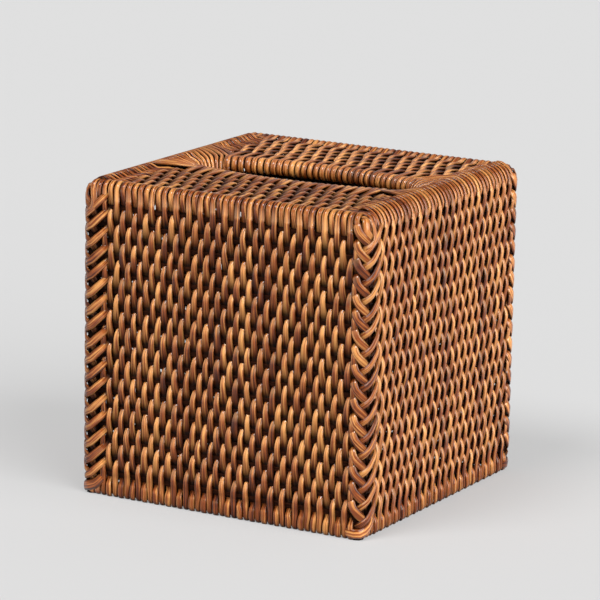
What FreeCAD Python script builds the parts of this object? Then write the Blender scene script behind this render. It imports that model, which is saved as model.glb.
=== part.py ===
import FreeCAD, Part
import math
import os

from FreeCAD import Placement, Rotation, Vector

# Woven cane tissue box cover: an open-bottomed cube with an oval slot in its top.
# Millimetres, +Z up, front towards -Y, origin on the table under the middle of the cover.

os.makedirs("parts", exist_ok=True)

# Outside size of the cover
body_width = 146.0
body_depth = 146.0
body_height = 146.0

# Round cane of the frame, measured from its middle to a flat
rail_radius = 3.0
post_radius = 3.0
ring_radius = 3.0
rod_sides = 8
post_top_chamfer = 1.2

# Thin cane ribs that the strips are woven over, measured to a corner of their diamond section
rib_radius = 1.6
rib_sides = 4
ribs_per_wall = 17
ribs_per_top_half = 5

# Flat peel strips, each with a flat back and a ridged face
strip_thickness = 1.0
strip_gap = 0.8
strips_per_wall = 19
strip_foot_lift = 0.8
weave_clearance = 0.1

# Herringbone lashing over the corners
lashing_reach = 10.5
lashing_width = 3.2
lashing_climb = 6.5

# Oval slot in the top, measured to the middle of the cane ring that frames it
slot_end_margin = 13.5
slot_half_width = 21.0
slot_end_share = 2 / 3
ring_hook_share = 0.5
ring_end_steps = 8
ring_side_steps = 10
ring_clearance = 0.3

# Relative error below which four corners count as lying in one plane
flat_share = 1e-6

# Where the layers of the weave lie
rise = rib_radius + weave_clearance
skin = rise + strip_thickness
plane_x = body_width / 2 - skin
plane_y = body_depth / 2 - skin
plane_z = body_height - skin
rail_inset = rail_radius - rib_radius
post_inset = post_radius - rib_radius
ring_inset = ring_radius + ring_clearance - rise
half_side = math.pi / rod_sides
rail_flat = rail_radius * math.tan(half_side)
ring_flat = ring_radius * math.tan(half_side)

# Heights of the rails and ribs in a wall
bottom_rail_z = rail_radius
top_rail_z = plane_z - rail_inset
rib_pitch = (top_rail_z - bottom_rail_z) / (ribs_per_wall + 1)
rib_heights = [bottom_rail_z + rib_pitch * (i + 1) for i in range(ribs_per_wall)]

# The slot's ring is a four-arc oval: two tight ends and two long shallow sides
slot_half_length = body_width / 2 - slot_end_margin
end_radius = slot_half_width * slot_end_share
end_centre = slot_half_length - end_radius
side_radius = (end_centre ** 2 + slot_half_width ** 2 - end_radius ** 2) / (2 * (slot_half_width - end_radius))
side_centre = side_radius - slot_half_width
join_scale = side_radius / math.hypot(end_centre, side_centre)
join_x = end_centre * join_scale

# Ribs of the top's front and back halves lie evenly between the rail and the ring
top_pitch = (plane_y - rail_inset - slot_half_width) / (ribs_per_top_half + 1)


def field(span):
    """Half width of a woven field between the corner lashings, and the pitch of its strips."""
    half = span / 2 - lashing_reach
    return half, 2 * half / strips_per_wall


# A short rib beside each end of the slot carries the strips that come over the side rails
field_half, field_pitch = field(body_width)
side_rib_x = field_half - field_pitch + rib_radius


def oval_y(x):
    """The ring's half width at x, and how much a square crossing is stretched along Y there."""
    if abs(x) <= join_x:
        lift = math.sqrt(side_radius ** 2 - x ** 2)
        return lift - side_centre, side_radius / lift
    lift = math.sqrt(end_radius ** 2 - (abs(x) - end_centre) ** 2)
    return lift, end_radius / lift


def oval_x(y):
    """The ring's half length at y, and how much a square crossing is stretched along X there."""
    reach = math.sqrt(end_radius ** 2 - y ** 2)
    return end_centre + reach, end_radius / reach


def polygon(points):
    """Flat face with these corners."""
    return Part.Face(Part.makePolygon(list(points) + [points[0]]))


def rod(start, finish, corner_radius, sides, first_corner):
    """Straight cane from start to finish, with its section's first corner turned by that share of a side."""
    axis = finish.sub(start).normalize()
    up = Vector(1, 0, 0) if axis.z else Vector(0, 0, 1)
    side = axis.cross(up)
    corners = []
    for i in range(sides):
        angle = 2 * math.pi * (i + first_corner) / sides
        corners.append(start + up * corner_radius * math.cos(angle) + side * corner_radius * math.sin(angle))
    return polygon(corners).extrude(finish.sub(start))


def frame_rod(start, finish, radius):
    """Thick cane with flats towards the faces of the cover."""
    return rod(start, finish, radius / math.cos(half_side), rod_sides, 1 / 2)


def rib(start, finish):
    """Thin cane with a corner towards the outside."""
    return rod(start, finish, rib_radius, rib_sides, 0)


def patch(a, b, c, d):
    """One four-sided face, or two triangles where the corners do not lie in one plane."""
    normal = b.sub(a).cross(d.sub(a))
    across = c.sub(a)
    if abs(normal.dot(across)) <= flat_share * normal.Length * across.Length:
        return [polygon([a, b, c, d])]
    return [polygon([a, b, c]), polygon([a, c, d])]


def solid_through(sections, closed):
    """Solid through a row of like sections: a closed row is a ring, an open one ends in its first and last."""
    faces = [] if closed else [polygon(sections[0]), polygon(sections[-1])]
    next_sections = sections[1:] + sections[:1] if closed else sections[1:]
    for near, far in zip(sections, next_sections):
        for i in range(len(near)):
            j = (i + 1) % len(near)
            faces += patch(near[i], near[j], far[j], far[i])
    solid = Part.Solid(Part.Shell(faces))
    if solid.Volume < 0:
        solid.reverse()
    return solid


def section(across, half, back, ridge):
    """Section of a strip: back and ridge are each a place along the panel and a height out of it."""
    return [Vector(across - half, *back), Vector(across, *ridge), Vector(across + half, *back)]


def outer_section(across, half, along):
    """The strip outside a rib."""
    return section(across, half, (along, rise), (along, skin))


def inner_section(across, half, along):
    """The strip inside a rib."""
    return section(across, half, (along, -skin), (along, -rise))


def woven(across, half, places, first_out):
    """The strip over and under a row of ribs at these places."""
    kinds = (outer_section, inner_section) if first_out else (inner_section, outer_section)
    return [kinds[i % 2](across, half, along) for i, along in enumerate(places)]


def columns(span):
    """Each strip's number, place across the panel and half width."""
    half, pitch = field(span)
    return [(i, (i + 1 / 2) * pitch - half, (pitch - strip_gap) / 2) for i in range(strips_per_wall)]


def wall_strips(span):
    """Upright strips of one wall, from the foot to the top rail, in the wall's own plane."""
    solids = []
    for number, across, half in columns(span):
        first_out = number % 2 == 0
        sections = [outer_section(across, half, strip_foot_lift)]
        if not first_out:
            sections.append(outer_section(across, half, bottom_rail_z + rail_flat))
        sections += woven(across, half, rib_heights, first_out)
        sections.append(outer_section(across, half, top_rail_z - rail_flat))
        solids.append(solid_through(sections, False))
    return solids


def rail_hook(across, half, rail_along):
    """The strip bent over the top rail, from its outer side to its crest."""
    inner = rail_radius + weave_clearance
    outer = inner + strip_thickness
    low = -rail_inset - rail_flat
    sections = [section(across, half, (rail_along - inner, low), (rail_along - outer, low))]
    for angle in (half_side, math.pi / 2 - half_side):
        places = []
        for layer in (inner, outer):
            reach = layer / math.cos(half_side)
            places.append((rail_along - reach * math.cos(angle), reach * math.sin(angle) - rail_inset))
        sections.append(section(across, half, *places))
    return sections


def ring_section(across, half, line, inner_place, outer_place):
    """Section lying along the ring: each place is a distance out from its middle and a height over it."""
    points = []
    for place, offset in ((inner_place, -half), (outer_place, 0), (inner_place, half)):
        reach, stretch = line(across + offset)
        points.append(Vector(across + offset, -reach - place[0] * stretch, place[1] - ring_inset))
    return points


def ring_hook(across, half, line):
    """The strip bent over the slot's ring, from its crest down into the slot."""
    inner = ring_radius + ring_clearance
    outer = inner + strip_thickness
    inner_bend = inner * math.tan(half_side)
    outer_bend = outer * math.tan(half_side)
    return [
        ring_section(across, half, line, (-inner_bend, inner), (-outer_bend, outer)),
        ring_section(across, half, line, (-inner, inner_bend), (-outer, outer_bend)),
        ring_section(across, half, line, (-inner, -ring_flat), (-outer, -ring_flat)),
    ]


def ring_crest(across, half, line):
    """The strip where it comes up onto the ring's outer edge."""
    inner = ring_radius + ring_clearance
    return ring_section(across, half, line, (ring_flat, inner), (ring_flat, inner + strip_thickness))


def top_strips_to_slot(span, plane):
    """Strips from the front rail over the top's ribs and into the slot. The outermost ones end on the rail."""
    rail_along = rail_inset - plane
    ribs = [rail_along + top_pitch * (i + 1) for i in range(ribs_per_top_half)]
    solids = []
    for number, across, half in columns(span):
        first_out = number % 2 == 1
        sections = rail_hook(across, half, rail_along)
        if number in (0, strips_per_wall - 1):
            sections.append(outer_section(across, half, rail_along + rail_flat))
        else:
            if not first_out:
                sections.append(outer_section(across, half, rail_along + rail_flat))
            sections += woven(across, half, ribs, first_out)
            if first_out == (ribs_per_top_half % 2 == 0):
                sections.append(ring_crest(across, half, oval_y))
            sections += ring_hook(across, half, oval_y)
        solids.append(solid_through(sections, False))
    return solids


def top_strips_to_side(span, plane):
    """Strips from a side rail onto the short side ribs, or at the slot's end over its ring."""
    rail_along = rail_inset - plane
    solids = []
    for number, across, half in columns(span):
        sections = rail_hook(across, half, rail_along)
        if abs(across) + half <= end_radius * ring_hook_share:
            sections += ring_hook(across, half, oval_x)
        else:
            sections.append(outer_section(across, half, rib_radius - side_rib_x))
        solids.append(solid_through(sections, False))
    return solids


def wall_ribs(post_line):
    """Level ribs of one wall, from post to post."""
    end = post_line - post_radius
    return [rib(Vector(-end, height, 0), Vector(end, height, 0)) for height in rib_heights]


def top_ribs(plane):
    """Ribs of the top's front half, between the short side ribs."""
    end = side_rib_x - rib_radius
    places = [rail_inset - plane + top_pitch * (i + 1) for i in range(ribs_per_top_half)]
    return [rib(Vector(-end, along, 0), Vector(end, along, 0)) for along in places]


def side_ribs(side):
    """Two short ribs at one side of the top, from the front and back rails to the ring."""
    outer_end = end_radius + ring_radius
    near = math.sqrt(outer_end ** 2 - (side_rib_x - rib_radius - end_centre) ** 2)
    far = plane_y - rail_inset - rail_radius
    x = side * side_rib_x
    return [rib(Vector(x, near * way, plane_z), Vector(x, far * way, plane_z)) for way in (-1, 1)]


def lashing(edge, way, shift):
    """Slanted lashing strips at one upright edge of a wall, climbing away from the edge."""
    half = lashing_width / 2
    solids = []
    for height in rib_heights:
        low = height + shift - lashing_climb / 2
        start = way * edge
        foot = [Vector(start, low - half, rise), Vector(start, low, skin), Vector(start, low + half, rise)]
        solids.append(polygon(foot).extrude(Vector(-way * lashing_reach, lashing_climb, 0)))
    return solids


def ring_path():
    """Points round the ring's middle line, each with its outward direction."""
    height = plane_z - ring_inset
    join = math.atan2(side_centre, end_centre)
    places = []
    for way, turn in ((1, 0), (-1, math.pi)):
        end = Vector(way * end_centre, 0, height)
        side = Vector(0, -way * side_centre, height)
        for centre, radius, start, finish, steps in (
            (end, end_radius, turn - join, turn + join, ring_end_steps),
            (side, side_radius, turn + join, turn + math.pi - join, ring_side_steps),
        ):
            for i in range(steps):
                angle = start + (finish - start) * i / steps
                outward = Vector(math.cos(angle), math.sin(angle), 0)
                places.append((centre + outward * radius, outward))
    return places


def slot_ring():
    """Cane ring that frames the slot."""
    reach = ring_radius / math.cos(half_side)
    angles = [2 * math.pi * (i + 1 / 2) / rod_sides for i in range(rod_sides)]
    sections = []
    for middle, outward in ring_path():
        sections.append([
            middle + outward * reach * math.cos(angle) + Vector(0, 0, reach * math.sin(angle))
            for angle in angles
        ])
    return solid_through(sections, True)


def corner_post(x, y):
    """Upright cane at a corner, with its top edges eased."""
    post = frame_rod(Vector(x, y, 0), Vector(x, y, plane_z + rib_radius), post_radius)
    top = post.BoundBox.ZMax
    rim = [edge for edge in post.Edges if math.isclose(edge.BoundBox.ZMin, top, rel_tol=flat_share)]
    return post.makeChamfer(post_top_chamfer, rim)


def save(name, solids):
    """Write one named piece, or one group of like pieces."""
    shape = solids[0] if len(solids) == 1 else Part.makeCompound(solids)
    shape.exportStep("parts/" + name + ".step")


def stand(solids, plane, turn):
    """Move a panel from its own plane to its wall."""
    upright = Placement(Vector(0, -plane, 0), Rotation(Vector(1, 0, 0), 90))
    place = Placement(Vector(), Rotation(Vector(0, 0, 1), turn)).multiply(upright)
    return [solid.transformed(place.toMatrix()) for solid in solids]


def lay(solids, turn):
    """Move a panel from its own plane to the top."""
    place = Placement(Vector(0, 0, plane_z), Rotation(Vector(0, 0, 1), turn))
    return [solid.transformed(place.toMatrix()) for solid in solids]


post_x = plane_x - post_inset
post_y = plane_y - post_inset

# Each side: its name, turn about Z, width, plane of its ribs, line of the posts at its ends, edge of the lashing
sides = [
    ("front", 0, body_width, plane_y, post_x, body_width / 2),
    ("right", 90, body_depth, plane_x, post_y, body_depth / 2),
    ("back", 180, body_width, plane_y, post_x, body_width / 2),
    ("left", 270, body_depth, plane_x, post_y, body_depth / 2),
]

# Walls, rails and the strips that come over the top
lashings = {}
for number, (side, turn, span, plane, post_line, edge) in enumerate(sides):
    rail_end = post_line - post_radius
    for level, height in (("bottom", bottom_rail_z), ("top", top_rail_z)):
        rail = frame_rod(Vector(-rail_end, height, -rail_inset), Vector(rail_end, height, -rail_inset), rail_radius)
        save(f"{side}_{level}_rail", stand([rail], plane, turn))
    save(f"{side}_wall_ribs", stand(wall_ribs(post_line), plane, turn))
    save(f"{side}_wall_strips", stand(wall_strips(span), plane, turn))
    to_slot = side in ("front", "back")
    top = top_strips_to_slot(span, plane) if to_slot else top_strips_to_side(span, plane)
    save(f"{side}_top_strips", lay(top, turn))
    if to_slot:
        save(f"{side}_top_ribs", lay(top_ribs(plane), turn))
    next_corner = (number + 1) % len(sides)
    lashings.setdefault(number, []).extend(stand(lashing(edge, -1, rib_pitch / 2), plane, turn))
    lashings.setdefault(next_corner, []).extend(stand(lashing(edge, 1, 0), plane, turn))

# Corner posts and their lashings, from the front left corner round to the right
corners = [("front_left", -1, -1), ("front_right", 1, -1), ("back_right", 1, 1), ("back_left", -1, 1)]
for number, (corner, way_x, way_y) in enumerate(corners):
    save(f"{corner}_corner_post", [corner_post(way_x * post_x, way_y * post_y)])
    save(f"{corner}_corner_lashing", lashings[number])

# Ring of the slot and the short ribs beside its ends
save("slot_ring", [slot_ring()])
save("left_side_ribs", side_ribs(-1))
save("right_side_ribs", side_ribs(1))
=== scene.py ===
# %% [markdown]
# # A woven cane tissue box cover
# The cover is a cube of lacquered rattan: thin ribs run level through each wall, narrow peel strips
# are woven up over them, and the same strips go on over the top edges and down into an oval slot. The
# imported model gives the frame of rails, posts, ribs and the slot's ring. Everything below is bent
# round that frame, so each size is read from it instead of being typed again.

# %% Load the frame
import bmesh
import bpy
import math
import random
from mathutils import Matrix, Vector, geometry, noise


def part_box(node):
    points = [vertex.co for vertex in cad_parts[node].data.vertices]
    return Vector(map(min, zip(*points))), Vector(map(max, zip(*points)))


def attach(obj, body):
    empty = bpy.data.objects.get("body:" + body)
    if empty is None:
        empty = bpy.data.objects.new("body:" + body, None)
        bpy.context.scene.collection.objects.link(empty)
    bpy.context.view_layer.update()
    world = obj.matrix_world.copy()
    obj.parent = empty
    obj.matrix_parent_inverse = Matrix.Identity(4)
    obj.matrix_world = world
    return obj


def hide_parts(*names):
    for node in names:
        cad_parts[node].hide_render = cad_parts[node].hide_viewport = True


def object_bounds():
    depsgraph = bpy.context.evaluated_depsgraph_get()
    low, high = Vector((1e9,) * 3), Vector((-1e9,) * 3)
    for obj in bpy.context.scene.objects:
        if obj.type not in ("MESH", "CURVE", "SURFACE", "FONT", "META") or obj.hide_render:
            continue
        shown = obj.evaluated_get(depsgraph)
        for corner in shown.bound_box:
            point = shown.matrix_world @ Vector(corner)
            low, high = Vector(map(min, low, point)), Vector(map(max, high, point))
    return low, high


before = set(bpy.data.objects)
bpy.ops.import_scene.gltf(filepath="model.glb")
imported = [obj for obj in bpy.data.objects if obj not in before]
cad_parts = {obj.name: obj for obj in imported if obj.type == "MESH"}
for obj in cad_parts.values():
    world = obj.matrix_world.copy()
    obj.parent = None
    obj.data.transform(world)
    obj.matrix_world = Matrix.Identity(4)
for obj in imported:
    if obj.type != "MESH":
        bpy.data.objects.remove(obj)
cad_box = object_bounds()
cover_low, cover_high = cad_box
print("cover box in metres:", cover_low[:], cover_high[:])

# %% [markdown]
# ## Reading the frame
# A strip only looks woven if it really passes outside one rib and inside the next, so the ribs'
# plane, pitch and radius come from the ribs' own box. The rails give the rolls that every strip is
# bent over, and the ring gives the oval of the slot. The oval is drawn with four arcs: two tight ends
# and two long sides.

# %% Sizes read from the frame
mm = 0.001
rib_count = 17
top_rib_count = 5
rib_low, rib_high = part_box("front_wall_ribs")
rib_radius = (rib_high.y - rib_low.y) / 2
wall_plane = -(rib_low.y + rib_high.y) / 2
rib_pitch = (rib_high.z - rib_low.z - 2 * rib_radius) / (rib_count - 1)
rib_heights = [rib_low.z + rib_radius + rib_pitch * i for i in range(rib_count)]

rail_low, rail_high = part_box("front_top_rail")
rail_radius = (rail_high.z - rail_low.z) / 2
rail_line = -(rail_low.y + rail_high.y) / 2
rail_height = (rail_low.z + rail_high.z) / 2
rail_end = rail_high.x
foot_low, foot_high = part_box("front_bottom_rail")
foot_height = (foot_low.z + foot_high.z) / 2
post_low, post_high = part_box("front_right_corner_post")
post_x = (post_low.x + post_high.x) / 2

top_low, top_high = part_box("front_top_ribs")
top_plane = (top_low.z + top_high.z) / 2
top_pitch = (top_high.y - top_low.y - 2 * rib_radius) / (top_rib_count - 1)
top_rib_lines = [-(top_low.y + rib_radius + top_pitch * i) for i in range(top_rib_count)]

ring_low, ring_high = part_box("slot_ring")
ring_radius = (ring_high.z - ring_low.z) / 2
ring_height = (ring_low.z + ring_high.z) / 2
slot_half_length = ring_high.x - ring_radius
slot_half_width = ring_high.y - ring_radius
slot_end_share = 2 / 3
end_radius = slot_half_width * slot_end_share
end_centre = slot_half_length - end_radius
side_reach = end_centre ** 2 + slot_half_width ** 2 - end_radius ** 2
side_radius = side_reach / (2 * (slot_half_width - end_radius))
side_centre = side_radius - slot_half_width
join_angle = math.atan2(side_centre, end_centre)
print("rib pitch", round(rib_pitch / mm, 2), "mm, slot", round(2 * slot_half_length / mm), "by",
      round(2 * slot_half_width / mm), "mm")

# %% [markdown]
# ## One tool for every strip and rod
# Rattan peel is a long flat ribbon with a rounded outer face, and a rod is the same thing with a
# round section, so one helper bends them all. It starts from a cylinder, cuts it into rings along its
# length, and carries each ring to its place on a smooth line through a few stations. A curve with a
# bevel could do this too, but a mesh keeps each strip's face turned outwards and lets it carry its
# own attributes: where a point lies along and across the strip for the fibres, the strip's own tone,
# and how deep it is tucked in, which the colour turns into painted shade and painted highlight.

# %% Bend a strip
strip_sides = 8
steps_per_span = 2
straight_strips = {}


def straight_strip(rings):
    """A straight round bar of this many rings, kept so that each length is made once."""
    if rings not in straight_strips:
        bar = bmesh.new()
        bmesh.ops.create_cone(bar, cap_ends=True, segments=strip_sides, radius1=1, radius2=1, depth=1)
        long_edges = [edge for edge in bar.edges if edge.verts[0].co.z != edge.verts[1].co.z]
        bmesh.ops.subdivide_edges(bar, edges=long_edges, cuts=rings - 2)
        straight_strips[rings] = bpy.data.meshes.new("straight_strip")
        bar.to_mesh(straight_strips[rings])
        bar.free()
    return straight_strips[rings]


def smooth_line(stations):
    """Points on a smooth line through the stations, with the outward direction, width and depth at each."""
    places = [station[0] for station in stations]
    last = len(places) - 1
    tangents = [(places[min(i + 1, last)] - places[max(i - 1, 0)]).normalized() for i in range(last + 1)]
    line = []
    for i in range(last):
        reach = (places[i + 1] - places[i]).length / 3
        points = geometry.interpolate_bezier(
            places[i], places[i] + tangents[i] * reach,
            places[i + 1] - tangents[i + 1] * reach, places[i + 1], steps_per_span + 1)
        for step, point in enumerate(points if i == last - 1 else points[:-1]):
            share = step / steps_per_span
            mixed = [a + (b - a) * share for a, b in zip(stations[i][1:], stations[i + 1][1:])]
            line.append((point, *mixed))
    return line


def bend_strip(bm, stations, width, face, back, tone):
    """Add one strip to the mesh. A station is a place, an outward direction, a width share and a painted
    shade depth.
    """
    fibre = bm.verts.layers.float_vector["fibre"]
    tuck_shade = bm.verts.layers.float["tuck_shade"]
    line = smooth_line(stations)
    rings = len(line)
    frames = []
    along = 0.0
    for i, (point, out, share, depth) in enumerate(line):
        ahead = line[min(i + 1, rings - 1)][0] - line[max(i - 1, 0)][0]
        across = ahead.cross(out).normalized()
        out = across.cross(ahead).normalized()
        along += (point - line[max(i - 1, 0)][0]).length
        frames.append((point, across, out, width / 2 * share, along, depth))
    first = len(bm.verts)
    bm.from_mesh(straight_strip(rings))
    bm.verts.ensure_lookup_table()
    for vert in bm.verts[first:]:
        side, rise, turn = vert.co
        point, across, out, half, reach, depth = frames[round((turn + 0.5) * (rings - 1))]
        vert.co = point + across * side * half + out * rise * (face if rise > 0 else back)
        vert[fibre] = (reach, side, tone)
        # How deep the strip is tucked in, which the colour turns into painted shade and painted highlight
        vert[tuck_shade] = depth


def new_strips():
    """An empty mesh with the layers that every strip carries."""
    bm = bmesh.new()
    bm.verts.layers.float_vector.new("fibre")
    bm.verts.layers.float.new("tuck_shade")
    return bm


def finish_piece(bm, name, material, replaced):
    """Turn the mesh into a smooth-shaded piece that rides with the cover."""
    bmesh.ops.recalc_face_normals(bm, faces=bm.faces)
    for face in bm.faces:
        face.smooth = True
    mesh = bpy.data.meshes.new(name)
    bm.to_mesh(mesh)
    bm.free()
    mesh.materials.append(material)
    piece = bpy.data.objects.new(name, mesh)
    bpy.context.scene.collection.objects.link(piece)
    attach(piece, "root")
    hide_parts(*replaced)
    print(name, len(mesh.polygons), "faces")


print("a strip's section has", strip_sides, "sides")

# %% [markdown]
# ## Lacquered peel and stained cane, with painted shade and highlights
# The strips are stained honey to red-brown and lacquered. Each strip differs a little and fine fibres
# run along it. Where a strip is tucked behind a rib, shade is painted into its colour, and the tips
# that stand out get a painted highlight, a paler colour. A wood pattern in space would run straight
# through every bend. So the colour is built on what the mesh carries: the strip's tone, a noise drawn
# out along the fibre, and the tuck depth, which gives the painted shade in the hollows and the painted
# highlight on the tips. A thin clear coat gives the gloss. The rods inside use the same recipe, duller
# and with no coat, and their colour is darker, painted near black as shade for the gaps between strips.

# %% Peel and cane materials
# Paler colour for the tips that stand out: a painted highlight
tip_highlight_colour = (0.74, 0.46, 0.23, 1)
strip_jump = 97.0
tone_share, streak_share, patch_share = 0.16, 0.95, 0.34
dark_at, middle_at, light_at = 0.55, 0.715, 0.89
edge_shade = 0.35
coat_roughness = 0.1
bare_gloss = 0.08
fibre_depth = 0.25 * mm


def combine(tree, operation, first, second):
    """The result of a Math node. Each of its two values is a number or another node's output."""
    made = tree.nodes.new("ShaderNodeMath")
    made.operation = operation
    for socket, value in zip(made.inputs, (first, second)):
        if isinstance(value, float):
            socket.default_value = value
        else:
            tree.links.new(value, socket)
    return made.outputs[0]


def cane_finish(name, colours, hollow_shade_share, tip_highlight_share, roughness, coat):
    """Fibrous cane with three colours from dark to light, with painted shade in hollows and a painted
    highlight at the tips.
    """
    material = bpy.data.materials.new(name)
    material.use_nodes = True
    tree = material.node_tree
    nodes, links = tree.nodes, tree.links
    shader = nodes["Principled BSDF"]

    def node(kind, **inputs):
        made = nodes.new(kind)
        for socket, value in inputs.items():
            made.inputs[socket.replace("_", " ")].default_value = value
        return made

    def attribute(label):
        made = nodes.new("ShaderNodeAttribute")
        made.attribute_name = label
        return made

    def remap(value, low, high, to_low, to_high):
        made = node("ShaderNodeMapRange", From_Min=low, From_Max=high, To_Min=to_low, To_Max=to_high)
        links.new(value, made.inputs["Value"])
        return made.outputs[0]

    fibre = attribute("fibre")
    tuck_shade = attribute("tuck_shade")
    parts = nodes.new("ShaderNodeSeparateXYZ")
    links.new(fibre.outputs["Vector"], parts.inputs[0])

    def grain(along, across, detail):
        stretch = nodes.new("ShaderNodeVectorMath")
        stretch.operation = "MULTIPLY"
        stretch.inputs[1].default_value = (along, across, strip_jump)
        links.new(fibre.outputs["Vector"], stretch.inputs[0])
        texture = node("ShaderNodeTexNoise", Scale=1.0, Detail=detail)
        links.new(stretch.outputs[0], texture.inputs["Vector"])
        return texture.outputs["Fac"]

    streaks = grain(40.0, 2.6, 3.0)
    patches = grain(90.0, 0.25, 2.0)
    tone = combine(tree, "MULTIPLY", parts.outputs["Z"], tone_share)
    tone = combine(tree, "ADD", tone, combine(tree, "MULTIPLY", streaks, streak_share))
    tone = combine(tree, "ADD", tone, combine(tree, "MULTIPLY", patches, patch_share))

    ramp = nodes.new("ShaderNodeValToRGB")
    ramp.color_ramp.elements[0].position = dark_at
    ramp.color_ramp.elements[1].position = light_at
    ramp.color_ramp.elements[0].color = (*colours[0], 1)
    ramp.color_ramp.elements[1].color = (*colours[2], 1)
    ramp.color_ramp.elements.new(middle_at).color = (*colours[1], 1)
    links.new(tone, ramp.inputs[0])

    # Painted highlight: the tips that stand out are mixed towards a paler colour
    tip_highlight = nodes.new("ShaderNodeMix")
    tip_highlight.data_type = "RGBA"
    links.new(remap(tuck_shade.outputs["Fac"], 0.0, 0.3, tip_highlight_share, 0.0), tip_highlight.inputs["Factor"])
    links.new(ramp.outputs["Color"], tip_highlight.inputs["A"])
    tip_highlight.inputs["B"].default_value = tip_highlight_colour

    # Painted shade: the colour darkens as the strip tucks in behind a rib, with a little painted light at
    # the tips
    depth_light_and_shade = remap(tuck_shade.outputs["Fac"], 0.1, 0.9, 1.1, hollow_shade_share)
    beside = combine(tree, "ABSOLUTE", parts.outputs["Y"], 0.0)
    edge = remap(beside, 0.55, 1.0, 1.0, edge_shade)
    painted_shade = nodes.new("ShaderNodeMix")
    painted_shade.data_type = "RGBA"
    painted_shade.blend_type = "MULTIPLY"
    painted_shade.inputs["Factor"].default_value = 1.0
    links.new(tip_highlight.outputs["Result"], painted_shade.inputs["A"])
    links.new(combine(tree, "MULTIPLY", depth_light_and_shade, edge), painted_shade.inputs["B"])
    links.new(painted_shade.outputs["Result"], shader.inputs["Base Color"])

    links.new(remap(streaks, 0.2, 0.8, roughness + 0.12, roughness - 0.08), shader.inputs["Roughness"])
    if coat > 0:
        links.new(remap(tuck_shade.outputs["Fac"], 0.2, 0.8, coat, 0.0), shader.inputs["Coat Weight"])
    shader.inputs["Coat Roughness"].default_value = coat_roughness
    shader.inputs["Specular IOR Level"].default_value = bare_gloss

    bump = node("ShaderNodeBump", Strength=0.8, Distance=fibre_depth)
    links.new(grain(30.0, 5.0, 4.0), bump.inputs["Height"])
    links.new(bump.outputs[0], shader.inputs["Normal"])
    return material


peel_colours = ((0.09, 0.013, 0.001), (0.37, 0.079, 0.008), (0.84, 0.36, 0.095))
# The rods' stain is painted near black, as painted shade for the gaps between the strips
rod_stain_and_shade_colours = ((0.010, 0.002, 0.0005), (0.018, 0.004, 0.001), (0.035, 0.008, 0.002))
peel_finish = cane_finish(
    "lacquered_peel", peel_colours, hollow_shade_share=0.04, tip_highlight_share=0.3, roughness=0.34, coat=1.0)
rod_stain_and_shade = cane_finish(
    "stained_cane_painted_shade", rod_stain_and_shade_colours, hollow_shade_share=0.5, tip_highlight_share=0.0, roughness=0.8, coat=0.0)
print("finishes:", peel_finish.name, rod_stain_and_shade.name)

# %% [markdown]
# ## The cane skeleton
# Posts and rails are round canes and the ribs are flat ones. The weave almost hides them, though the
# ribs show as dark bands in the gaps and from inside, because their colour is painted shade, near
# black. They could be cylinders, but as straight strips with a thick or a flat section they carry the
# same attributes as the weave and share its finish.

# %% Cane tools
up = Vector((0, 0, 1))
wall_out = Vector((0, -1, 0))
rib_band = 3.0 * mm
bare_rib = 0.35 * mm
bare_rod = 2.5 * mm
weave_shift = 0.9 * mm
weave_plane = wall_plane + weave_shift
weave_top = top_plane + weave_shift / 2
draw = random.Random(7)


def quarter_turn(number):
    """Turn about the upright axis from the front wall to the wall with this number."""
    return Matrix.Rotation(number * math.pi / 2, 3, "Z")


def cane(bm, start, finish, out, width, radius):
    """A straight cane between two places, with this width across and this half thickness."""
    middle = (start + finish) / 2
    stations = [(place, out, 1.0, 0.0) for place in (start, middle, finish)]
    bend_strip(bm, stations, width, radius, radius, draw.random())


def rod(bm, start, finish, radius):
    """A straight round cane."""
    out = up if abs((finish - start).z) < rib_radius else Vector((1, 0, 0))
    cane(bm, start, finish, out, 2 * radius, radius)


def level_rod(bm, line, height, radius):
    """A round cane along the front wall."""
    rod(bm, Vector((-rail_end, -line, height)), Vector((rail_end, -line, height)), radius)


print("weave at", round(weave_plane / mm, 1), "mm from the middle and", round(weave_top / mm, 1), "mm up")

# %% [markdown]
# ## Ribs and rails of the walls
# Each wall has seventeen ribs between a bottom and a top rail. They are drawn on the front wall and
# turned to the other three. The side edges of the top are rounder than the front and back ones, so a
# thicker cane, set further in, fills them.

# %% Wall ribs and rails
sides = ("front", "right", "back", "left")
side_ease = 4.5 * mm
side_rise = 1.4 * mm
core_clearance = 0.5 * mm
side_core = rail_radius + side_ease - core_clearance

for number, side in enumerate(sides):
    turn = quarter_turn(number)
    bm = new_strips()
    for height in rib_heights:
        start = Vector((-rail_end, -weave_plane, height))
        finish = Vector((rail_end, -weave_plane, height))
        cane(bm, start, finish, wall_out, rib_band, bare_rib)
    bmesh.ops.rotate(bm, verts=bm.verts, matrix=turn)
    finish_piece(bm, f"{side}_ribs", rod_stain_and_shade, [f"{side}_wall_ribs"])
    bm = new_strips()
    level_rod(bm, rail_line, foot_height, bare_rod)
    if side in ("front", "back"):
        level_rod(bm, rail_line, rail_height, bare_rod)
    else:
        level_rod(bm, rail_line - side_ease, rail_height + side_rise - side_ease, side_core)
    bmesh.ops.rotate(bm, verts=bm.verts, matrix=turn)
    finish_piece(bm, f"{side}_rails", rod_stain_and_shade, [f"{side}_bottom_rail", f"{side}_top_rail"])

# %% [markdown]
# ## Posts and the ribs of the top
# A post stands in each corner. The top has five ribs in front of the slot and five behind it, and a
# short pair beside each of its ends. They follow the frame's own ribs, but they are flat and lie a
# little further out, so that the thin strips woven over them fill the cover's outline.

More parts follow.
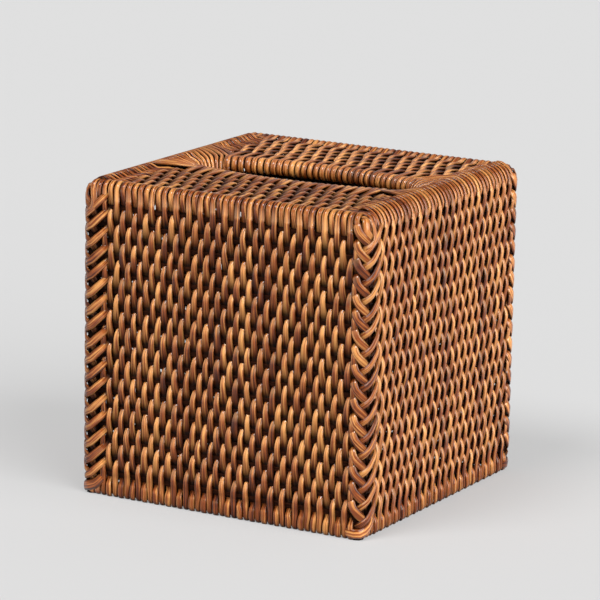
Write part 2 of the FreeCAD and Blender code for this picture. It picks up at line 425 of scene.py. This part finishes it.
# %% Posts and top ribs
corners = ("front_left", "front_right", "back_right", "back_left")
bm = new_strips()
for way_x, way_y in ((-1, -1), (1, -1), (1, 1), (-1, 1)):
    place = Vector((way_x * post_x, way_y * post_x, 0))
    rod(bm, place + up * post_low.z, place + up * rail_height, rail_radius)
finish_piece(bm, "corner_posts", rod_stain_and_shade, [f"{corner}_corner_post" for corner in corners])

bm = new_strips()
for way in (-1, 1):
    for line in top_rib_lines:
        start = Vector((-top_high.x, way * line, weave_top))
        finish = Vector((top_high.x, way * line, weave_top))
        cane(bm, start, finish, up, rib_band, bare_rib)
finish_piece(bm, "top_ribs", rod_stain_and_shade, ["front_top_ribs", "back_top_ribs"])

bm = new_strips()
side_low, side_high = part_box("right_side_ribs")
side_rib_x = (side_low.x + side_high.x) / 2
slot_shoulder = end_radius + ring_radius
for way_x in (-1, 1):
    for way_y in (-1, 1):
        start = Vector((way_x * side_rib_x, way_y * slot_shoulder, weave_top))
        finish = Vector((way_x * side_rib_x, way_y * side_high.y, weave_top))
        cane(bm, start, finish, up, rib_band, bare_rib)
finish_piece(bm, "side_ribs", rod_stain_and_shade, ["left_side_ribs", "right_side_ribs"])

# %% [markdown]
# ## The slot's hoop
# A thick cane is bent round the slot. A spin would give a circle, so the same bar is led round the
# four-arc oval instead, at even steps along its length.

# %% Slot hoop
bare_ring = 1.8 * mm
hoop_steps = 48


def oval_place(turn):
    """Place on the ring's middle line, for a turn from 0 to 1."""
    arcs = []
    for way, start in ((1, 0.0), (-1, math.pi)):
        tight = Vector((way * end_centre, 0, ring_height))
        arcs.append((tight, end_radius, start - join_angle, 2 * join_angle))
        shallow = Vector((0, -way * side_centre, ring_height))
        arcs.append((shallow, side_radius, start + join_angle, math.pi - 2 * join_angle))
    lengths = [radius * sweep for centre, radius, begin, sweep in arcs]
    left = (turn % 1) * sum(lengths)
    for (centre, radius, begin, sweep), length in zip(arcs, lengths):
        if left <= length:
            break
        left -= length
    angle = begin + sweep * min(left / length, 1)
    return centre + Vector((math.cos(angle), math.sin(angle), 0)) * radius


bm = new_strips()
ring_stations = [(oval_place(i / hoop_steps), up, 1.0, 0.0) for i in range(hoop_steps + 1)]
bend_strip(bm, ring_stations, 2 * bare_ring, bare_ring, bare_ring, draw.random())
finish_piece(bm, "slot_hoop", rod_stain_and_shade, ["slot_ring"])

# %% [markdown]
# ## The weave
# Each wall has about forty upright strips. A strip starts under the bottom rail, passes outside one
# rib and inside the next, goes over the top rail and on across the top. Neighbours start on opposite
# ribs. Each time a strip comes outside it makes a grain: a wide foot that slides out from behind, dark
# from its own shading and from painted shade, and a narrow tip that dives in again steeply, bright
# from the lamps and from a painted highlight. A wave would be simpler, but it has no foot and no tip.
# So the grain is written once, as a short list of stations, and every pass uses it.
# The field is not centred, because the lacing of the corner takes more room at the left of each wall
# than at the right.

# %% Weave
columns_per_wall = 42
left_margin = 9.8 * mm
right_margin = 4.3 * mm
field_left = cover_low.x + left_margin
field_right = cover_high.x - right_margin
column_pitch = (field_right - field_left) / columns_per_wall
peel_width = column_pitch
peel_face = 0.7 * mm
peel_back = 0.35 * mm
strip_clearance = 0.75 * mm
weave_lift = bare_rib + strip_clearance
# Distance from the rib in gaps, lift, width share and painted shade depth
over_grain = (
    (-0.78, -0.25, 1.80, 0.95),
    (-0.50, 0.35, 1.50, 0.80),
    (-0.05, 0.95, 1.08, 0.52),
    (0.35, 1.30, 0.94, 0.25),
    (0.60, 1.00, 0.86, 0.05),
    (0.76, 0.45, 0.80, 0.0),
    (0.87, -0.1, 0.84, 0.4),
)
first_grain = over_grain[2:]
last_grain = over_grain[:-3]
under_pass = ((-0.1, -0.8, 1.8, 1.0), (0.1, -0.8, 1.9, 1.0))
swell_shares = (0.9, 1.08)
slip_share = 0.07


def woven(lines, over_first, place, out, lean, painted_shade):
    """Stations over and under the ribs at these distances along the strip, with this share of painted
    shade.
    """
    stations = []
    last = len(lines) - 1
    for row in range(1, last + 1):
        over = (row % 2 == 1) == over_first
        gap = lines[row] - lines[row - 1]
        passes = over_grain if over else under_pass
        if over and row == 1:
            passes = first_grain
        if over and row == last:
            passes = last_grain
        way = 2 * lean if over else -2 * lean
        swell = draw.uniform(*swell_shares)
        slip = draw.uniform(-slip_share, slip_share)
        for distance, lift, share, depth in passes:
            spot = place(way * distance, lines[row] + (distance + slip) * gap, lift * weave_lift)
            stations.append((spot, out, share * swell, depth * painted_shade))
    return stations


print(columns_per_wall, "strips per wall at a pitch of", round(column_pitch / mm, 2), "mm")

# %% [markdown]
# ## Up a wall and over the rail
# No two rows of hand work are alike, so each strip drifts sideways and each row rises and falls a
# little, by a slow noise that is the same on every run. The strip is bent round both rails by
# stations on a circle. Near the ends of a wall it falls back, because the corner is rounded in plan.

# %% Wall strips
edge_round = 6.0 * mm
roll = rail_radius + peel_back
rail_turns = (0.05, 0.2, 0.36, 0.5)
# Painted shade depths of a strip round the top rail
rail_shade_depths = (0.2, 0.3, 0.4, 0.4)
# Turns, painted shade depths and width shares round the bottom rail, for a strip that lies low or stands
# out
low_foot = ((-0.27, -0.1, 0.1), (0.9, 0.6, 0.5), (0.9, 0.9, 0.95))
proud_foot = ((-0.26, -0.1, 0.1), (0.85, 0.5, 0.4), (0.9, 1.05, 1.05))
proud_rise = 0.3 * mm
sway_reach = 0.7 * mm
sway_across = 8 * mm
sway_along = 20 * mm
sag_reach = 1.1 * mm
sag_across = 16 * mm
sag_step = 0.7
sag_seed = 5.0
# Share of the gap, lift, width share and painted shade depth between a rail and the rib next to it
low_start = ((0.5, 0.8, 1.0, 0.35),)
proud_start = ((0.42, 1.0, 0.95, 0.2), (0.64, 0.1, 0.8, 0.5))
over_end = (0.5, 1.0, 1.0, 0.0)
under_end = (0.3, -0.1, 1.2, 0.7)


def sway(x, z, seed):
    """Slow sideways drift of a strip."""
    return sway_reach * noise.noise(Vector((x / sway_across, z / sway_along, seed)))


def sag(x, row, seed):
    """Slow rise and fall of a row along the wall."""
    return sag_reach * noise.noise(Vector((x / sag_across, row * sag_step, seed + sag_seed)))


def bent(centre, outward, radius, turns, depths, shares):
    """Stations on a roll, at turns counted in half circles from its outward side."""
    stations = []
    for turn, depth, share in zip(turns, depths, shares):
        direction = outward * math.cos(math.pi * turn) + up * math.sin(math.pi * turn)
        stations.append((centre + direction * radius, direction, share, depth))
    return stations


def end_inset(x):
    """How far the wall falls back near its ends, where the corner is rounded in plan."""
    reach = edge_round - (cover_high.x - abs(x))
    return edge_round - math.sqrt(edge_round ** 2 - reach ** 2) if reach > 0 else 0.0


def wall_stations(x, over_first, lean, seed, ease, rail_rise, rail_share, painted_shade):
    """The strip from under the bottom rail, over and under the ribs and over the eased top rail."""
    inset = end_inset(x)
    foot = Vector((x, -rail_line + inset, foot_height))
    rail = Vector((x, -rail_line + inset + ease, rail_height + rail_rise - ease))

    def place(side, height, lift):
        row = (height - foot_height) / rib_pitch
        drift = sway(x, height, seed) + side
        return Vector((x + drift, -weave_plane + inset - lift, height + sag(x, row, seed)))

    if over_first:
        stations = bent(foot, wall_out, roll, *low_foot)
    else:
        stations = bent(foot, wall_out, roll + proud_rise, *proud_foot)
    for gap_share, lift, share, depth in low_start if over_first else proud_start:
        spot = place(0.0, foot_height + rib_pitch * gap_share, weave_lift * lift)
        stations.append((spot, wall_out, share, depth))
    stations += woven([foot_height] + rib_heights, over_first, place, wall_out, lean, painted_shade)
    top_gap = rail_height - rib_heights[-1]
    ends_over = (rib_count % 2 == 1) == over_first
    gap_share, lift, share, depth = over_end if ends_over else under_end
    spot = place(0.0, rib_heights[-1] + top_gap * gap_share, weave_lift * lift)
    stations.append((spot, wall_out, share, depth))
    shares = (rail_share,) * len(rail_turns)
    return stations + bent(rail, wall_out, roll + ease, rail_turns, rail_shade_depths, shares)


print("strips bend round the rails at", round(roll / mm, 2), "mm")

# %% [markdown]
# ## Across the top and into the slot
# The strips of the front and back walls are woven on across the top and bent down over the ring.
# Those of the side walls come over a rounder edge, because nothing holds them flat there. The middle
# ones fan round the ring's end, over a fuller roll, and the others run a short way in and are tucked
# under a rib. In the fan the strips draw together, so they must get narrower towards the ring or they
# would fuse into one sheet.

# %% Top strips
end_ease = 2.5 * mm
ring_roll = ring_radius + peel_back
fan_half = slot_half_width + 8 * mm
fan_slope = (fan_half - end_radius) / (rail_line - side_ease - end_centre)
fan_turn = math.radians(88)
fan_shares = (0.6, 0.54, 0.46, 0.4, 0.4)
ring_turns = (0.5, 0.75, 1.0, 1.25, 1.5)
# Painted shade depths of a strip round the ring
ring_shade_depths = (0.25, 0.2, 0.2, 0.35, 0.8)
ring_shares = (0.95, 0.92, 0.9, 0.9, 0.9)
side_share = 0.66
top_seed = 3.0
rib_margin = 1 * mm


def ring_line(x):
    """Distance of the ring's middle line from the long axis along its side."""
    return math.sqrt(side_radius ** 2 - x ** 2) - side_centre


def top_to_slot(x, over_first, lean, seed):
    """The strip over and under the top's ribs to the slot, or tucked in beside the slot's ends."""
    def place(side, line, lift):
        drift = sway(x, line, seed + top_seed) + side
        return Vector((x + drift, line + sag(x, line / top_pitch, seed), weave_top + lift))

    lines = [-rail_line] + [-line for line in top_rib_lines]
    if abs(x) > side_rib_x - rib_margin:
        return [
            (place(0.0, lines[0] + 5 * mm, weave_lift * 0.5), up, 0.95, 0.1),
            (place(0.0, lines[1] + 3 * mm, -weave_lift), up, 0.8, 1.0),
        ]
    first = place(0.0, lines[0] + top_pitch * 0.45, weave_lift if over_first else weave_lift * 0.3)
    stations = [(first, up, 1.0, 0.0 if over_first else 0.3)]
    stations += woven(lines, over_first, place, up, lean, 1.0)
    if abs(x) < end_centre + end_radius * math.cos(join_angle):
        outward = Vector((x / side_radius, -1, 0)).normalized()
        ring = Vector((x, -ring_line(x), ring_height))
        return stations + bent(ring, outward, ring_roll, ring_turns, ring_shade_depths, ring_shares)
    fan_edge = end_radius + end_ease + (abs(x) - end_centre) * fan_slope
    stations.append((place(0.0, -fan_edge - 1.5 * mm, 0.0), up, 0.95, 0.4))
    stations.append((place(0.0, -fan_edge + 2.5 * mm, -weave_lift), up, 0.8, 1.0))
    return stations


def top_to_side(x):
    """The strip from a side rail, fanned over the ring's end or tucked beside it, in its wall's frame."""
    if abs(x) < fan_half:
        angle = fan_turn * x / fan_half
        outward = Vector((math.sin(angle), -math.cos(angle), 0))
        end = Vector((0, -end_centre, ring_height - end_ease))
        ring = end + outward * (end_radius + end_ease)
        return bent(ring, outward, ring_roll + end_ease, ring_turns, ring_shade_depths, fan_shares)
    nearness = max(0.0, 1 - (abs(x) - fan_half) / (10 * mm))
    pull = math.copysign(2.5 * mm + nearness * 3 * mm, x)
    reach = 5 * mm + nearness * 8 * mm
    share = side_share + (1 - side_share) * nearness
    return [
        (Vector((x - 0.25 * pull, -side_rib_x - 4 * mm, weave_top + weave_lift)), up, share, 0.3),
        (Vector((x - 0.75 * pull, -side_rib_x, weave_top + weave_lift)), up, share, 0.35),
        (Vector((x - 1.9 * pull, -side_rib_x + reach, weave_top - weave_lift)), up, share, 1.0),
    ]


print("fan reaches", round(fan_half / mm), "mm to each side of the slot's axis")

# %% [markdown]
# ## Weaving the four walls
# Every wall is woven as if it were the front one and then turned to its place. Strips over the
# rounder side edges are made narrower there, as on the real cover, and the side walls get less
# painted shade, so they read lighter. Small seeded draws keep the rows from looking machine made.

# %% Weave the walls
front_rise = 0.4 * mm
front_share = 0.88
# Share of painted shade on the front and back walls and on the side walls
front_painted_shade, side_painted_shade = 1.0, 0.7
stray_range = (-0.12, 0.12)
lean_range = (-0.05, 0.4)
width_shares = (0.95, 1.07)
wall_seed = 11.0

for number, side in enumerate(sides):
    bm = new_strips()
    seed = wall_seed * number
    for column in range(columns_per_wall):
        x = field_left + (column + 0.5) * column_pitch + draw.uniform(*stray_range) * mm
        over_first = column % 2 == 0
        lean = draw.uniform(*lean_range) * mm
        if side in ("front", "back"):
            stations = wall_stations(
                x, over_first, lean, seed, 0.0, front_rise, front_share, front_painted_shade)
            stations += top_to_slot(x, not over_first, lean, seed)
        else:
            stations = wall_stations(
                x, over_first, lean, seed, side_ease, side_rise, side_share, side_painted_shade)
            stations += top_to_side(x)
        width = peel_width * draw.uniform(*width_shares)
        bend_strip(bm, stations, width, peel_face, peel_back, draw.random())
    bmesh.ops.rotate(bm, verts=bm.verts, matrix=quarter_turn(number))
    finish_piece(bm, f"{side}_weave", peel_finish, [f"{side}_wall_strips", f"{side}_top_strips"])

# %% [markdown]
# ## The laced corners
# Each upright edge is laced with two strips for every row of ribs. One comes down the left-hand face
# and slips under; the other starts at the edge, crosses it and climbs the right-hand face until it
# joins the weave. Together they make a row of V shapes. A bevelled curve would lie round in section,
# so each strip is bent round the post through a few stations, given in millimetres beside the post.

# %% Lacing rows
lace_width = 3.6 * mm
# Painted shade added to every depth of the lacing
lace_painted_shade = 0.06
lace_shares = (0.92, 1.06)
level_range = (-0.5, 0.5)
corner = Vector((post_x, -post_x, 0))
left, left_out = Vector((-1, 0, 0)), Vector((0, -1, 0))
right, right_out = Vector((0, 1, 0)), Vector((1, 0, 0))
edge_out = (left_out + right_out).normalized()


def lace(along, distance, out, lift, height, share, depth):
    """A station beside the front right post, that far along a face, lifted from it, in millimetres."""
    point = corner + along * distance * mm + out * (rail_radius + lift * mm)
    return point + up * height * mm, out, share, min(depth + lace_painted_shade, 1.0)


def corner_row(bm, height):
    """The two lacing strips of one row at the front right corner."""
    level = height / mm + draw.uniform(*level_range)
    under = [
        lace(left, 2.2, left_out, -1.6, level + 8.4, 0.85, 1.0),
        lace(left, 1.4, left_out, 0.6, level + 6.8, 1.15, 0.05),
        lace(left, 0.0, left_out, 1.0, level + 4.0, 1.15, 0.25),
        lace(left, 0.0, edge_out, 0.7, level + 0.6, 1.1, 0.4),
        lace(right, 1.0, right_out, 0.2, level - 2.6, 1.0, 0.6),
        lace(right, 2.6, right_out, -0.6, level - 5.6, 0.9, 1.0),
    ]
    over = [
        lace(left, 0.4, left_out, -0.8, level - 5.2, 0.85, 1.0),
        lace(right, 0.0, edge_out, 0.6, level - 3.4, 1.0, 0.5),
        lace(right, 1.0, right_out, 1.2, level - 1.2, 1.1, 0.3),
        lace(right, 4.0, right_out, 1.5, level + 1.5, 1.05, 0.2),
        lace(right, 7.0, right_out, 1.2, level + 4.2, 0.95, 0.15),
        lace(right, 8.8, right_out, -0.6, level + 6.6, 0.9, 0.8),
        lace(right, 9.2, right_out, -1.8, level + 8.4, 0.85, 1.0),
    ]
    for stations in (under, over):
        width = lace_width * draw.uniform(*lace_shares)
        bend_strip(bm, stations, width, peel_face, peel_back, draw.random())


print("lacing strips are", round(lace_width / mm, 1), "mm wide")

# %% [markdown]
# ## Tops and feet of the corners
# At the top one strip comes over from the top rail, bows round the right-hand face and crosses the
# edge into the first V, and a short tongue fills the loop that it leaves. At the foot a wide strip
# wraps the end of the post. Beside the corner a few short strips fold over the ends of the rails,
# where the wall's own strips have stopped.

# %% Corner ends and caps
cap_strips = 2
cap_turns = (0.04, 0.2, 0.36, 0.5)
cap_foot = ((-0.27, -0.1, 0.12), (0.7, 0.2, 0.1), (0.95, 0.95, 0.95))
cap_drop = 4 * mm
arc_drop = 1.2
wrap_share = 1.2


def corner_ends(bm):
    """The bowed strip and the tongue at the top of the post, and the wide one round its foot."""
    level = rail_height / mm - arc_drop
    arc = [
        lace(left, 5.0, up, -0.6, level, 0.9, 0.9),
        lace(left, 1.5, up, 0.5, level, 1.0, 0.3),
        lace(right, 1.0, (up + right_out).normalized(), 0.9, level, 1.0, 0.15),
        lace(right, 2.4, right_out, 1.2, level - 3.6, 1.0, 0.1),
        lace(right, 1.6, right_out, 1.4, level - 7.4, 1.0, 0.1),
        lace(left, 0.0, edge_out, 0.8, level - 11.0, 1.0, 0.4),
        lace(left, 0.6, left_out, -0.8, level - 13.6, 0.9, 1.0),
    ]
    wrap = [
        lace(left, 5.6, left_out, -0.8, 3.4, 0.8, 1.0),
        lace(left, 2.6, left_out, 0.6, 3.2, 1.0, 0.3),
        lace(left, 0.0, edge_out, 0.9, 3.2, 1.1, 0.2),
        lace(right, 3.0, right_out, 1.0, 5.0, 1.1, 0.2),
        lace(right, 6.4, right_out, 0.6, 8.0, 1.0, 0.2),
        lace(right, 8.4, right_out, -1.4, 10.8, 0.8, 1.0),
    ]
    tongue = [
        lace(left, 1.0, up, -0.4, level, 0.9, 0.7),
        lace(right, 0.3, (up + edge_out).normalized(), 0.7, level, 1.0, 0.3),
        lace(right, 0.3, edge_out, 0.9, level - 1.8, 1.05, 0.2),
        lace(right, 0.8, (edge_out + right_out).normalized(), 0.7, level - 4.4, 1.05, 0.4),
        lace(right, 1.8, right_out, -0.4, level - 7.2, 0.9, 0.9),
    ]
    for stations, share in ((arc, 1.0), (wrap, wrap_share), (tongue, 1.0)):
        bend_strip(bm, stations, lace_width * share, peel_face, peel_back, draw.random())


def rail_caps(bm):
    """Short strips folded over the left ends of a wall's top and bottom rails, built on the front wall."""
    for i in range(cap_strips):
        x = field_left - (i + 0.5) * column_pitch
        inset = end_inset(x)
        rail = Vector((x, -rail_line + inset, rail_height - inset))
        plane = -weave_plane + inset
        drop = rail_height - cap_drop
        stations = [
            (Vector((x - 1.0 * mm, plane + weave_lift, drop - cap_drop)), wall_out, 0.8, 1.0),
            (Vector((x - 0.4 * mm, plane - weave_lift * 0.4, drop)), wall_out, 1.0, 0.3),
        ]
        stations += bent(rail, wall_out, roll, cap_turns, rail_shade_depths, (0.9,) * len(cap_turns))
        stations.append((rail + Vector((i * 0.4 * mm, 5 * mm, roll)), up, 0.85, 0.4))
        stations.append((rail + Vector((i * 0.8 * mm, 9.5 * mm, roll - 0.4 * mm)), up, 0.8, 0.45))
        stations.append((rail + Vector((i * mm, 13 * mm, -0.5 * mm)), up, 0.8, 1.0))
        bend_strip(bm, stations, peel_width, peel_face, peel_back, draw.random())
        foot = Vector((x, -rail_line + inset, foot_height))
        stations = bent(foot, wall_out, roll, *cap_foot)
        stations.append((Vector((x + 0.5 * mm, plane, foot_height + 4 * mm)), wall_out, 1.0, 0.4))
        stations.append((Vector((x + 1.0 * mm, plane + 2 * mm, foot_height + 8 * mm)), wall_out, 0.8, 1.0))
        bend_strip(bm, stations, peel_width, peel_face, peel_back, draw.random())


print(cap_strips, "cap strips beside each corner")

# %% [markdown]
# ## Lacing the four corners
# One corner is laced as the front right one and turned to its place. The caps are built at the left
# of the front wall, so they take one quarter turn more to come to that corner.

# %% Lace the corners
for number, name in enumerate(("front_right", "back_right", "back_left", "front_left")):
    bm = new_strips()
    rail_caps(bm)
    bmesh.ops.rotate(bm, verts=bm.verts, matrix=quarter_turn(1))
    corner_ends(bm)
    for height in rib_heights:
        corner_row(bm, height)
    bmesh.ops.rotate(bm, verts=bm.verts, matrix=quarter_turn(number))
    finish_piece(bm, f"{name}_lacing", peel_finish, [f"{name}_corner_lashing"])

# %% [markdown]
# ## The floor
# The cover stands on a pale sheet, and all that the camera sees behind the cover is that sheet. Under
# the cover the sheet is painted dark as shade, so no white glints through the weave. A lamp from the
# front could lift the shadow, but it would flatten the weave, so the sheet itself glows a little where
# it is seen, a painted light that lifts its shadow.

# %% Floor
floor_half = 6.0
paper_colour = (0.64, 0.64, 0.64, 1)
shade_colour = (0.03, 0.025, 0.02, 1)
shaded_half = cover_high.x * 0.93
lifted_share = 0.5


def pale_paper():
    """Pale paper with painted shade under the cover, and its shadow lifted by half where it is seen."""
    material = bpy.data.materials.new("pale_paper")
    material.use_nodes = True
    tree = material.node_tree
    nodes, links = tree.nodes, tree.links
    nodes.remove(nodes["Principled BSDF"])
    place = nodes.new("ShaderNodeTexCoord")
    beside = nodes.new("ShaderNodeVectorMath")
    beside.operation = "ABSOLUTE"
    links.new(place.outputs["Object"], beside.inputs[0])
    axes = nodes.new("ShaderNodeSeparateXYZ")
    links.new(beside.outputs[0], axes.inputs[0])
    far = combine(tree, "MAXIMUM", axes.outputs["X"], axes.outputs["Y"])
    open_floor = combine(tree, "GREATER_THAN", far, shaded_half)

    colour = nodes.new("ShaderNodeMix")
    colour.data_type = "RGBA"
    colour.inputs["A"].default_value = shade_colour
    colour.inputs["B"].default_value = paper_colour
    links.new(open_floor, colour.inputs["Factor"])
    sheet = nodes.new("ShaderNodeBsdfDiffuse")
    links.new(colour.outputs["Result"], sheet.inputs["Color"])

    ray = nodes.new("ShaderNodeLightPath")
    seen = combine(tree, "MAXIMUM", ray.outputs["Is Camera Ray"], ray.outputs["Is Glossy Ray"])
    seen = combine(tree, "MAXIMUM", seen, ray.outputs["Is Transmission Ray"])
    lifted = combine(tree, "MULTIPLY", combine(tree, "MULTIPLY", seen, open_floor), lifted_share)
    glow = nodes.new("ShaderNodeEmission")
    glow.inputs["Color"].default_value = paper_colour
    mix = nodes.new("ShaderNodeMixShader")
    links.new(lifted, mix.inputs["Fac"])
    links.new(sheet.outputs[0], mix.inputs[1])
    links.new(glow.outputs[0], mix.inputs[2])
    links.new(mix.outputs[0], nodes["Material Output"].inputs["Surface"])
    return material


bm = bmesh.new()
bmesh.ops.create_grid(bm, x_segments=1, y_segments=1, size=floor_half)
floor_mesh = bpy.data.meshes.new("floor")
bm.to_mesh(floor_mesh)
bm.free()
floor_mesh.materials.append(pale_paper())
floor = bpy.data.objects.new("floor", floor_mesh)
bpy.context.scene.collection.objects.link(floor)
print("floor", len(floor_mesh.polygons), "face")

# %% [markdown]
# ## The light
# Two broad soft lamps and an even sky light the cover. Area lamps near it would light the sheet
# unevenly, so the lamps are suns with a wide disc, one high on the left and one low on the right.

# %% Lamps and world
cover_middle = (cover_low + cover_high) / 2


def wide_sun(name, towards, strength, spread):
    """A soft lamp at a great distance, shining from the given direction."""
    light = bpy.data.lights.new(name, "SUN")
    light.energy = strength
    light.angle = math.radians(spread)
    lamp = bpy.data.objects.new(name, light)
    lamp.rotation_mode = "QUATERNION"
    lamp.rotation_quaternion = Vector(towards).to_track_quat("Z", "Y")
    bpy.context.scene.collection.objects.link(lamp)


sky_strength = 0.34
wide_sun("key", (-0.25, -0.60, 1.00), 1.8, 25)
wide_sun("side", (0.95, -0.27, 0.45), 3.8, 60)
world = bpy.data.worlds.new("studio")
world.use_nodes = True
sky = world.node_tree.nodes["Background"]
sky.inputs["Color"].default_value = (1, 1, 1, 1)
sky.inputs["Strength"].default_value = sky_strength
bpy.context.scene.world = world
print("lamps:", [lamp.name for lamp in bpy.data.lights])

# %% [markdown]
# ## The camera
# The view is given as a turn about the upright axis, a tilt, a small roll and a distance in cover
# widths, which is how one would set a real camera on its stand. The long lens is written in picture
# pixels and changed to millimetres of the sensor, because pixels are what can be measured.

# %% Camera
view_turn = math.radians(29.586)
view_tilt = math.radians(12.971)
view_roll = math.radians(1.034)
view_distance = 11.751 * (cover_high.x - cover_low.x)
view_side = -0.006 * (cover_high.x - cover_low.x)
view_lift = 0.084 * (cover_high.x - cover_low.x)
lens_pixels = 3730.0
frame_pixels = 600

level = Vector((math.cos(view_turn), math.sin(view_turn), 0))
ahead = up.cross(level)
back = up * math.sin(view_tilt) - ahead * math.cos(view_tilt)
rise = back.cross(level)
right_axis = level * math.cos(view_roll) + rise * math.sin(view_roll)
up_axis = rise * math.cos(view_roll) - level * math.sin(view_roll)
camera_data = bpy.data.cameras.new("camera")
camera_data.lens = lens_pixels / frame_pixels * camera_data.sensor_width
camera = bpy.data.objects.new("camera", camera_data)
place = cover_middle + back * view_distance + right_axis * view_side + up_axis * view_lift
camera.matrix_world = Matrix((right_axis, up_axis, back)).transposed().to_4x4()
camera.location = place
camera_data.clip_end = 20
bpy.context.scene.collection.objects.link(camera)
bpy.context.scene.camera = camera
bpy.context.scene.view_settings.view_transform = "Standard"
print("lens", round(camera_data.lens), "mm at", round(view_distance, 2), "m")
